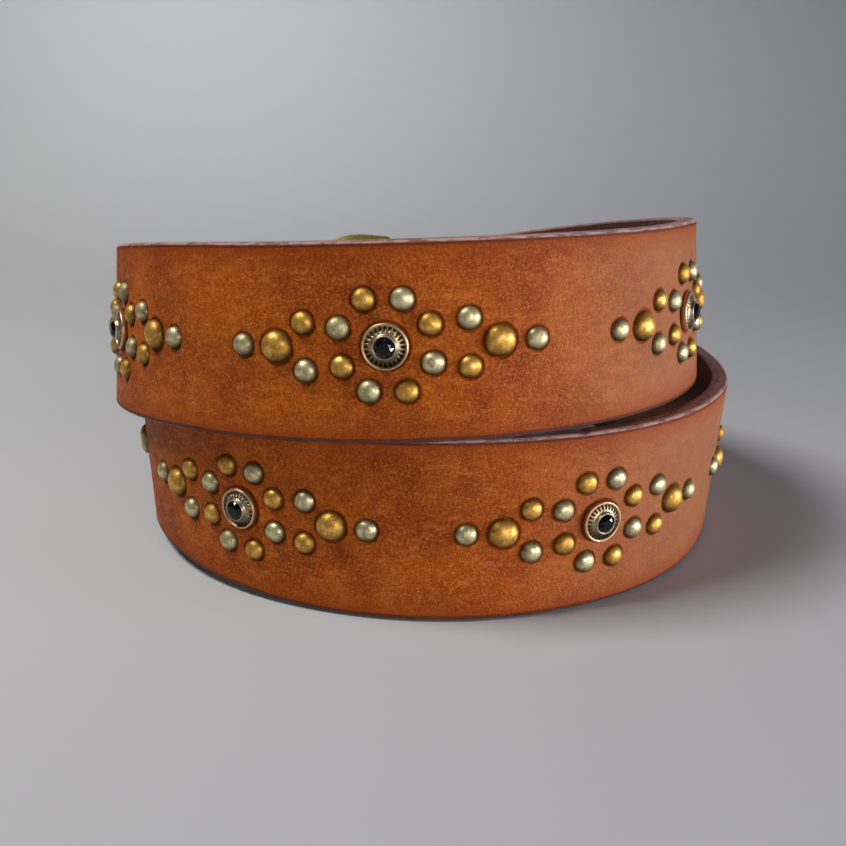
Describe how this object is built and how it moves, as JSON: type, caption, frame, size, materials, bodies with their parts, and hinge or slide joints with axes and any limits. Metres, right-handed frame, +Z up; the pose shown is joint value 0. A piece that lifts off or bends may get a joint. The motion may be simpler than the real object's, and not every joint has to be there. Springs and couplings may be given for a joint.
{
  "type": "studded leather belt, coiled",
  "caption": "Leather belt coiled in two turns on its edge, with diamond motifs of dome studs round faceted black stones and a plain buckle.",
  "frame": {"origin": "on the floor, at the middle of the coil's footprint", "axes": "+Z up; -Y towards the side that the picture shows; +X to the right in the picture"},
  "size_m": [0.1672, 0.1804, 0.081],
  "materials": {
    "leather": "oiled tan leather with dark burnished edges",
    "brass": "antiqued brass, rubbed bright on top",
    "nickel": "antiqued nickel, worn and slightly green",
    "old_copper": "antiqued copper and silver",
    "black_glass": "polished faceted black glass"
  },
  "bodies": {
    "root": {"strap": "leather", "buckle": "brass", "keeper_loop": "leather", "fold_rivet_01": "nickel", "fold_rivet_02": "nickel", "large_stud_01": "brass", "large_stud_02": "brass", "large_stud_03": "brass", "large_stud_04": "brass", "large_stud_05": "brass", "large_stud_06": "brass", "large_stud_07": "brass", "large_stud_08": "brass", "large_stud_09": "brass", "large_stud_10": "brass", "large_stud_11": "brass", "large_stud_12": "brass", "large_stud_13": "brass", "large_stud_14": "brass", "large_stud_15": "brass", "large_stud_16": "brass", "large_stud_17": "brass", "large_stud_18": "brass", "large_stud_19": "brass", "large_stud_20": "brass", "large_stud_21": "brass", "large_stud_22": "brass", "setting_01": "old_copper", "setting_02": "old_copper", "setting_03": "old_copper", "setting_04": "old_copper", "setting_05": "old_copper", "setting_06": "old_copper", "setting_07": "old_copper", "setting_08": "old_copper", "setting_09": "old_copper", "setting_10": "old_copper", "setting_11": "old_copper", "stone_01": "black_glass", "stone_02": "black_glass", "stone_03": "black_glass", "stone_04": "black_glass", "stone_05": "black_glass", "stone_06": "black_glass", "stone_07": "black_glass", "stone_08": "black_glass", "stone_09": "black_glass", "stone_10": "black_glass", "stone_11": "black_glass"}
  },
  "joints": []
}
